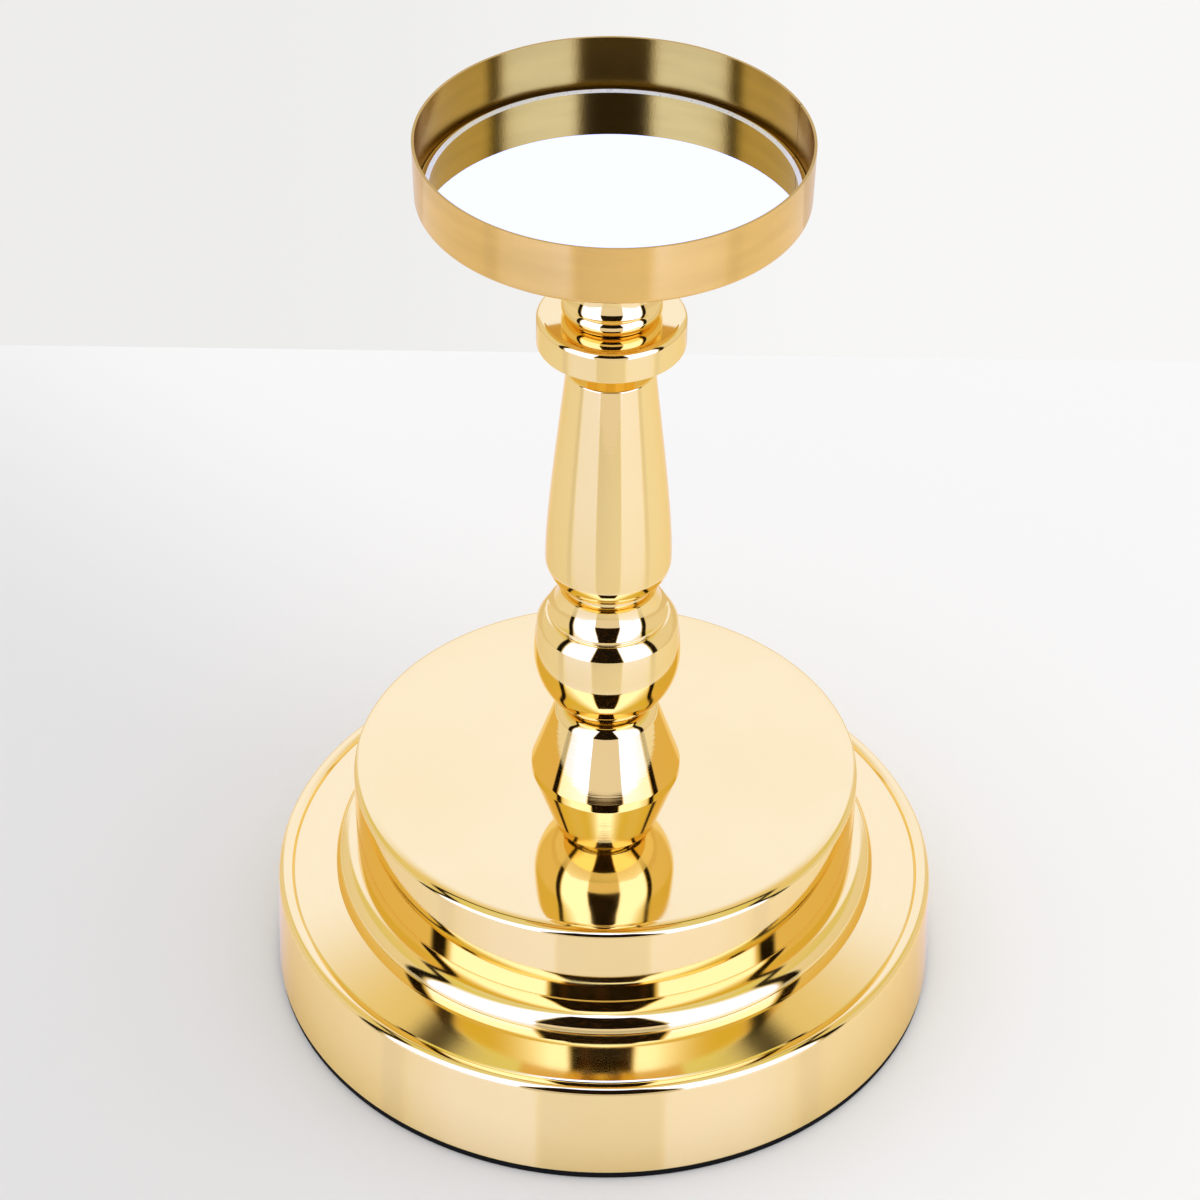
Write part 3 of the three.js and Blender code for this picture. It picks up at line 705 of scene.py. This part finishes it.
def make_upper_ring():
    radius, bottom, top = reach("upper_ring")
    brow = bottom + (top - bottom) * UPPER_RING_BROW
    undercut = arc(radius - UPPER_RING_UNDERCUT, brow, UPPER_RING_UNDERCUT, brow - bottom, -90, 0)
    runs = [
        [(ROD_BORE, bottom), undercut[0]],
        undercut + [(radius, top)],
        [(radius, top), (ROD_BORE, top)],
    ]
    fit(turned("ring_above_knop", runs, STEM_SIDES), "upper_ring", "gold_turned", lathe_gold)


def make_knop():
    """A bowl, a broad belt, a shoulder, a fine double groove and a cove up to a flat top."""
    radius, bottom, top = reach("stem_knop")
    foot = (radius - KNOP_FOOT_INSET, bottom)
    belt = (radius, bottom + KNOP_BOWL_HEIGHT)
    shoulder = (radius - KNOP_BELT_INSET, belt[1] + KNOP_BELT_HEIGHT)
    groove = (shoulder[0] - KNOP_SHOULDER_INSET, shoulder[1] + KNOP_SHOULDER_HEIGHT)
    cove = (groove[0] - KNOP_GROOVE_INSET, groove[1] + KNOP_GROOVE_HEIGHT)
    crest = (cove[0] - KNOP_COVE_INSET, top)
    cut_height = KNOP_GROOVE_HEIGHT / 3
    fillet = cove[0]
    grooves = [
        groove,
        (fillet - KNOP_GROOVE_CUT, groove[1] + KNOP_GROOVE_CUT),
        (fillet, groove[1] + cut_height),
        (fillet, cove[1] - cut_height),
        (fillet - KNOP_GROOVE_CUT, cove[1] - KNOP_GROOVE_CUT),
        cove,
    ]
    runs = [
        [(ROD_BORE, bottom), foot],
        sweep(foot, belt, BOWL_PULLS) + sweep(belt, shoulder, BELT_PULLS),
        sweep(shoulder, groove, SHOULDER_PULLS),
        grooves,
        sweep(cove, crest, KNOP_COVE_PULLS),
        [crest, (ROD_BORE, top)],
    ]
    fit(turned("knop", runs, STEM_SIDES), "stem_knop", "gold_turned", lathe_gold)


def make_baluster():
    radius, bottom, top = reach("baluster")
    belly = (radius, bottom + BALUSTER_BELLY_HEIGHT)
    foot_radius = radius - BALUSTER_FOOT_INSET
    land = top - BALUSTER_NECK_HEIGHT
    shoulder = (BALUSTER_TOP_RADIUS, land - BALUSTER_EDGE)
    foot = sweep((foot_radius, bottom), belly, BELLY_PULLS)
    edge_centre = BALUSTER_TOP_RADIUS - BALUSTER_EDGE
    edge = round_arc(edge_centre, shoulder[1], BALUSTER_EDGE, BALUSTER_EDGE_START, 90, EDGE_STEPS)
    runs = [
        [(ROD_BORE, bottom), foot[0]],
        foot + sweep(belly, shoulder, TAPER_PULLS) + edge,
        [edge[-1], (BALUSTER_NECK_RADIUS, land)],
        [(BALUSTER_NECK_RADIUS, land), (BALUSTER_NECK_RADIUS, top)],
        [(BALUSTER_NECK_RADIUS, top), (ROD_BORE, top)],
    ]
    fit(turned("baluster_turning", runs, STEM_SIDES), "baluster", "gold_turned", lathe_gold)


def make_collar():
    radius, bottom, top = reach("collar_disc")
    low_round = COLLAR_BOTTOM_ROUND
    high_round = COLLAR_TOP_ROUND
    runs = [
        [(ROD_BORE, bottom)]
        + round_arc(radius - low_round, bottom + low_round, low_round, -90, 0, EDGE_STEPS)
        + round_arc(radius - high_round, top - high_round, high_round, 0, 90)
        + [(ROD_BORE, top)],
    ]
    fit(turned("collar", runs, STEM_SIDES), "collar_disc", "gold_turned", lathe_gold)


def make_neck():
    seat_radius, bottom, top = reach("cup_neck")
    groove = bottom + NECK_BEAD_HEIGHT
    groove_radius = NECK_COVE_RADIUS - NECK_GROOVE_DEPTH
    bead_side = NECK_BEAD_RADIUS - NECK_BEAD_INSET
    bead_half = NECK_BEAD_HEIGHT / 2
    bead = arc(bead_side, bottom + bead_half, NECK_BEAD_INSET, bead_half, -90, 90, BEAD_STEPS)
    cove_foot = (NECK_COVE_RADIUS, groove + NECK_GROOVE_RISE)
    waist = (NECK_WAIST_RADIUS, cove_foot[1] + NECK_COVE_HEIGHT)
    seat_bottom = top - NECK_SEAT_THICKNESS
    bore_foot = top - SCREW_BORE_DEPTH
    runs = [
        [(0, bottom + ROD_SOCKET_DEPTH), (ROD_BORE, bottom + ROD_SOCKET_DEPTH)],
        [(ROD_BORE, bottom + ROD_SOCKET_DEPTH), (ROD_BORE, bottom)],
        [(ROD_BORE, bottom)] + bead,
        [bead[-1], (groove_radius, groove)],
        [(groove_radius, groove), cove_foot],
        sweep(cove_foot, waist, NECK_COVE_PULLS) + sweep(waist, (seat_radius, seat_bottom), FLARE_PULLS),
        [(seat_radius, seat_bottom), (seat_radius, top)],
        [(seat_radius, top), (SINK_RADIUS, top)],
        [(SINK_RADIUS, top), (SCREW_BORE, top - (SINK_RADIUS - SCREW_BORE))],
        [(SCREW_BORE, top - (SINK_RADIUS - SCREW_BORE)), (SCREW_BORE, bore_foot)],
        [(SCREW_BORE, bore_foot), (0, bore_foot)],
    ]
    fit(turned("neck", runs, STEM_SIDES), "cup_neck", "gold_turned", lathe_gold)


# Tray

def make_cup():
    gauge = CUP_GAUGE
    radius, lowest, rim = reach("candle_cup")
    _, _, bottom = reach("cup_neck")
    floor = bottom + gauge
    floor_radius = radius - CUP_FLARE
    inner_round = CUP_CORNER_ROUND - gauge
    inner_radius = floor_radius - gauge
    sheet = gauge * math.sqrt(2)
    hole_top = lowest + sheet
    corner = round_arc(floor_radius - CUP_CORNER_ROUND, bottom + CUP_CORNER_ROUND, CUP_CORNER_ROUND, -90, 0)
    inner_centre = (inner_radius - inner_round, floor + inner_round)
    inner_corner = round_arc(*inner_centre, inner_round, 0, -90, INNER_CORNER_STEPS)
    runs = [
        [(SCREW_BORE, lowest), (SCREW_HEAD_RADIUS - gauge + sheet, bottom)],
        [(SCREW_HEAD_RADIUS - gauge + sheet, bottom)] + corner + [(radius, rim)],
        [(radius, rim), (radius - gauge, rim)],
        [(radius - gauge, rim)] + inner_corner + [(SCREW_HEAD_RADIUS, floor)],
        [(SCREW_HEAD_RADIUS, floor), (SCREW_BORE, hole_top)],
        [(SCREW_BORE, hole_top), (SCREW_BORE, lowest)],
    ]
    piece = turned("cup", runs, SHELL_SIDES)
    fit(piece, "candle_cup", "gold_cup", cup_outer, cup_inner, by_run={2: 1, 3: 1, 4: 1})


def make_mirror():
    """The silvered back of the glass, inside a ground edge whose brightness is partly its own pale colour
    and partly a painted highlight.
    """
    node_radius, bottom, node_top = reach("mirror_disc")
    radius = node_radius - MIRROR_SLOT
    silver = node_top - MIRROR_SINK
    crest = silver + MIRROR_EDGE_RISE
    flat = radius - MIRROR_EDGE_WIDTH
    runs = [
        [(0, bottom), (radius, bottom)],
        [(radius, bottom), (radius, crest)],
        [(radius, crest), (flat, silver)],
        [(flat, silver), (0, silver)],
    ]
    piece = turned("mirror", runs, SHELL_SIDES)
    fit(piece, "mirror_disc", "mirror", mirror_glass(), ground_glass(), by_run={1: 1, 2: 1})


def dress_hidden_nodes():
    """The hardware, board and foam inside keep their solids and get their finish."""
    finishes = {"zinc": zinc(), "board": hardboard(), "adhesive": foam_tape()}
    for row in frame["record"]["subparts"]:
        if row["material_slot"] in finishes:
            solid = frame["nodes"][row["node"]].data
            solid.materials.clear()
            solid.materials.append(finishes[row["material_slot"]])


make_felt()
make_plinth()
make_drum()
make_foot()
make_lower_ring()
make_knop()
make_upper_ring()
make_baluster()
make_collar()
make_neck()
make_cup()
make_mirror()
dress_hidden_nodes()


# Camera, in metres and degrees, with its lens and sensor in millimetres
CAMERA_DISTANCE = 0.783457
CAMERA_HEIGHT = 0.748435
CAMERA_PITCH = 38.453
CAMERA_YAW = 0.175
CAMERA_ROLL = 0.686
CAMERA_LENS = 110.987
CAMERA_CLIP = 0.01
SENSOR_WIDTH = 36.0
PHOTO_WIDTH = 1200
SHIFT_X = 1 / PHOTO_WIDTH

# Table, in metres
TABLE_WIDTH = 1.2
TABLE_FRONT_EDGE = 0.43
TABLE_BACK_EDGE = 0.30
# Painted shade across the table: darker to the left, lighter again towards the back
TABLE_LEFT_PAINTED_SHADE = (0.79, 0.785, 0.79, 1.0)
TABLE_RIGHT_UNSHADED = (0.955, 0.95, 0.95, 1.0)
# Painted reflection: table colours that only glossy rays see, tinting the gold's reflections of the table
TABLE_LEFT_PAINTED_REFLECTION = (0.875, 0.82, 0.87, 1.0)
TABLE_RIGHT_PAINTED_REFLECTION = (0.95, 0.895, 0.94, 1.0)
TABLE_PAINTED_SHADE_SPAN = (-0.16, 0.10)
TABLE_PAINTED_SHADE_FAR_START = 0.08
TABLE_ROUGHNESS = 0.05
TABLE_SHINE = 0.75
TABLE_SHINE_SEEN = 0.04
# Painted glow: the table glows round the base, seen only in reflections
TABLE_PAINTED_GLOW = (0.09, 0.12, 0.40, 1.0)
PAINTED_GLOW_RISE_SPAN = (0.085, 0.115)
PAINTED_GLOW_FALL_SPAN = (0.14, 0.18)
PAINTED_GLOW_REST = 0.25

# Studio: degrees round from the camera and above the table, shares of a frame or direction, and colours
GAP_HALF_LOW = 24.5
GAP_HALF_HIGH = 20.5
GAP_NARROWEST = 40.0
GAP_BOTTOM = 4.0
GAP_TOP = 70.0
GAP_SOFT = 0.6
GAP_END_SOFT = 1.0
GAP_BORDER_END = 2.4
FLAP_SOFT = 2.0
FRAME_FRONT_SIDE = 70.0
FRAME_FRONT_TOP = 61.5
FRAME_BACK_SIDE = 79.0
FRAME_BACK_TOP = 58.5
FRAME_POWER = 6.0
FRAME_BORDER_SPAN = (1.0, 1.03)
FRAME_FRONT_SPAN = (0.985, 1.005)
FRAME_BACK_SPAN = (0.985, 1.015)
SIDE_WALL_SPAN = (30.0, 38.0)
BACK_EDGE_LOW = 140.0
BACK_EDGE_HIGH = 146.0
BACK_EDGE_TOP = 45.0
BACK_EDGE_SPAN = (-4.0, 6.0)
BACK_TOP_SPAN = (42.0, 57.0)
HORIZON_SPAN = (-2.0, 0.0)
PANEL_FADE = 78.0
CEILING_START = 132.0
FADE_ASIDE = 1.27
CEILING_BACK_SPAN = (62.0, 70.0)
CEILING_BEHIND_SPAN = (-0.15, 0.0)
DARK_PATCH_SCALE = 14.0
DARK_PATCH_SPAN = (0.52, 0.7)
BACKDROP_SPAN = (-0.1, 0.08)
PANEL = (1.4, 1.8, 5.2, 1.0)
PANEL_BORDER = (0.75, 0.66, 0.5, 1.0)
CEILING = (0.80, 0.74, 0.30, 1.0)
CEILING_BACK = (0.82, 0.78, 0.66, 1.0)
FLAP = (0.85, 0.79, 1.0, 1.0)
DARK = (0.008, 0.005, 0.004, 1.0)
DARK_BROWN = (0.05, 0.022, 0.012, 1.0)
BACK_TOP = (0.85, 0.72, 0.5, 1.0)
FLOOR_BEYOND = (0.80, 0.71, 0.70, 1.0)
SIDE_WALL_LOW = (0.86, 0.79, 0.82, 1.0)
SIDE_WALL_HIGH = (0.79, 0.71, 0.42, 1.0)
BACK_WALL = (1.04, 1.12, 2.0, 1.0)
EVEN_LIGHT = (1.0, 1.0, 1.0, 1.0)
BACKDROP_LEFT = (0.85, 0.845, 0.835, 1.0)
BACKDROP_RIGHT = (0.935, 0.93, 0.92, 1.0)


def make_camera():
    data = bpy.data.cameras.new("camera")
    data.sensor_width = SENSOR_WIDTH
    data.lens = CAMERA_LENS
    data.shift_x = SHIFT_X
    data.clip_start = CAMERA_CLIP
    camera = bpy.data.objects.new("camera", data)
    bpy.context.scene.collection.objects.link(camera)
    turn = Matrix.Rotation(math.radians(CAMERA_YAW), 4, "Z")
    tilt = Matrix.Rotation(math.radians(90 - CAMERA_PITCH), 4, "X")
    roll = Matrix.Rotation(math.radians(CAMERA_ROLL), 4, "Z")
    place = Matrix.Translation((0, -CAMERA_DISTANCE, CAMERA_HEIGHT))
    camera.matrix_world = place @ turn @ tilt @ roll
    bpy.context.scene.camera = camera


def table_material():
    """White acrylic with painted shade, darker to the left and lighter towards the back. In reflections it
    is glossier, takes a painted reflection tint, and has a painted cool glow round the base.
    """
    material, tree, shader, place = new_material("white_acrylic_painted_light")
    split = tree.node("ShaderNodeSeparateXYZ")
    tree.link(place, split.inputs[0])
    x, y, _ = split.outputs
    # Painted shade: the table darkens to the left and lightens towards the back
    far = tree.math("MAXIMUM", tree.math("SUBTRACT", y, TABLE_PAINTED_SHADE_FAR_START), 0.0)
    across = tree.span(tree.math("ADD", x, far), *TABLE_PAINTED_SHADE_SPAN)
    seen = tree.mix(across, TABLE_LEFT_PAINTED_SHADE, TABLE_RIGHT_UNSHADED)
    # Painted reflection: a second table colour for glossy rays only
    painted_reflection_colour = tree.mix(across, TABLE_LEFT_PAINTED_REFLECTION, TABLE_RIGHT_PAINTED_REFLECTION)
    path = tree.node("ShaderNodeLightPath")
    reflected = path.outputs["Is Glossy Ray"]
    tree.link(tree.mix(reflected, seen, painted_reflection_colour), shader.inputs["Base Color"])
    shader.inputs["Roughness"].default_value = TABLE_ROUGHNESS
    shine = tree.span(path.outputs["Is Camera Ray"], 0.0, 1.0, TABLE_SHINE, TABLE_SHINE_SEEN)
    tree.link(shine, shader.inputs["Specular IOR Level"])
    radius, _ = radius_and_height(tree, place)
    # Painted glow in a ring round the base, for glossy rays only
    rise = tree.span(radius, *PAINTED_GLOW_RISE_SPAN)
    fall = tree.span(radius, *PAINTED_GLOW_FALL_SPAN, 1.0, PAINTED_GLOW_REST)
    painted_glow = tree.math("MULTIPLY", tree.math("MULTIPLY", rise, fall), reflected)
    shader.inputs["Emission Color"].default_value = TABLE_PAINTED_GLOW
    tree.link(painted_glow, shader.inputs["Emission Strength"])
    return material


def make_table():
    half = TABLE_WIDTH / 2
    front, back = -TABLE_FRONT_EDGE, TABLE_BACK_EDGE
    corners = [(-half, front, 0), (half, front, 0), (half, back, 0), (-half, back, 0)]
    mesh = bpy.data.meshes.new("table")
    mesh.from_pydata(corners, [], [(0, 1, 2, 3)])
    mesh.materials.append(table_material())
    table = bpy.data.objects.new("table", mesh)
    bpy.context.scene.collection.objects.link(table)


def arch(tree, around, above, side, top):
    """Under 1 inside an arch round the back of the studio, over 1 outside it."""
    across = tree.math("DIVIDE", tree.math("SUBTRACT", 180.0, around), 180.0 - side)
    up = tree.math("DIVIDE", tree.math("MAXIMUM", above, 0.0), top)
    powers = tree.math("ADD", tree.math("POWER", across, FRAME_POWER), tree.math("POWER", up, FRAME_POWER))
    return tree.math("POWER", powers, 1.0 / FRAME_POWER)


def studio_colour(tree):
    """Colour of the studio by direction: lit panels in front with a dark gap between them, a dull ceiling,
    side walls behind a dark frame, and a bright back wall."""
    way = tree.node("ShaderNodeTexCoord").outputs["Generated"]
    split = tree.node("ShaderNodeSeparateXYZ")
    tree.link(way, split.inputs[0])
    x, y, z = split.outputs
    round_angle = tree.math("ARCTAN2", x, tree.math("MULTIPLY", y, -1.0))
    around = tree.math("ABSOLUTE", tree.math("DEGREES", round_angle))
    above = tree.math("DEGREES", tree.math("ARCSINE", z))

    # Panels that fade into the ceiling
    aside = tree.math("MULTIPLY", tree.math("SUBTRACT", around, GAP_HALF_LOW), FADE_ASIDE)
    lit = tree.span(tree.math("ADD", above, aside), PANEL_FADE, CEILING_START, 1.0, 0.0, False)
    overhead = tree.span(above, *CEILING_BACK_SPAN)
    behind = tree.math("MULTIPLY", tree.span(y, *CEILING_BEHIND_SPAN), overhead)
    ceiling = tree.mix(behind, CEILING, CEILING_BACK)
    colour = tree.mix(tree.math("MULTIPLY", lit, lit), ceiling, PANEL)
    patches = tree.noise(way, DARK_PATCH_SCALE, detail=3.0)
    dark = tree.mix(tree.span(patches, *DARK_PATCH_SPAN), DARK, DARK_BROWN)

    # Gap between the panels, with a pale flap under it
    gap_half = tree.span(above, 0.0, GAP_NARROWEST, GAP_HALF_LOW, GAP_HALF_HIGH, False)
    past_gap = tree.math("SUBTRACT", around, gap_half)
    in_gap = tree.span(past_gap, -GAP_SOFT, GAP_SOFT, 1.0, 0.0)
    under = tree.span(above, GAP_BOTTOM, GAP_BOTTOM + FLAP_SOFT, 1.0, 0.0)
    level = tree.band(above, GAP_BOTTOM, GAP_TOP, GAP_END_SOFT)
    border = tree.math("MULTIPLY", level, tree.span(past_gap, GAP_SOFT, GAP_BORDER_END, 1.0, 0.0))
    colour = tree.mix(border, colour, PANEL_BORDER)
    colour = tree.mix(tree.math("MULTIPLY", in_gap, under), colour, FLAP)
    colour = tree.mix(tree.math("MULTIPLY", in_gap, level), colour, dark)

    # Dark frame, and the walls seen through it
    front_arch = arch(tree, around, above, FRAME_FRONT_SIDE, FRAME_FRONT_TOP)
    back_arch = arch(tree, around, above, FRAME_BACK_SIDE, FRAME_BACK_TOP)
    colour = tree.mix(tree.span(front_arch, *FRAME_BORDER_SPAN, 1.0, 0.0), colour, PANEL_BORDER)
    colour = tree.mix(tree.span(front_arch, *FRAME_FRONT_SPAN, 1.0, 0.0), colour, dark)
    side = tree.mix(tree.span(above, *SIDE_WALL_SPAN), SIDE_WALL_LOW, SIDE_WALL_HIGH)
    back_edge = tree.span(above, 0.0, BACK_EDGE_TOP, BACK_EDGE_LOW, BACK_EDGE_HIGH, False)
    at_back = tree.span(tree.math("SUBTRACT", around, back_edge), *BACK_EDGE_SPAN)
    wall = tree.mix(at_back, side, BACK_WALL)
    wall = tree.mix(tree.span(above, *BACK_TOP_SPAN), wall, BACK_TOP)
    wall = tree.mix(tree.span(above, *HORIZON_SPAN, 1.0, 0.0), wall, FLOOR_BEYOND)
    return tree.mix(tree.span(back_arch, *FRAME_BACK_SPAN, 1.0, 0.0), colour, wall)


def make_world():
    """Plain even light for what is dull, a pale backdrop for the camera, and the studio for reflections."""
    world = bpy.data.worlds.new("studio")
    bpy.context.scene.world = world
    world.use_nodes = True
    tree = Tree(world.node_tree)
    background = tree.node("ShaderNodeBackground")
    output = tree.node("ShaderNodeOutputWorld")
    tree.link(background.outputs[0], output.inputs[0])
    path = tree.node("ShaderNodeLightPath")
    split = tree.node("ShaderNodeSeparateXYZ")
    tree.link(tree.node("ShaderNodeTexCoord").outputs["Generated"], split.inputs[0])
    backdrop = tree.mix(tree.span(split.outputs[0], *BACKDROP_SPAN), BACKDROP_LEFT, BACKDROP_RIGHT)
    lit = tree.mix(path.outputs["Is Camera Ray"], EVEN_LIGHT, backdrop)
    seen = tree.mix(path.outputs["Is Glossy Ray"], lit, studio_colour(tree))
    tree.link(seen, background.inputs["Color"])
    background.inputs["Strength"].default_value = 1.0


make_camera()
make_table()
make_world()
bpy.context.scene.view_settings.view_transform = "Standard"
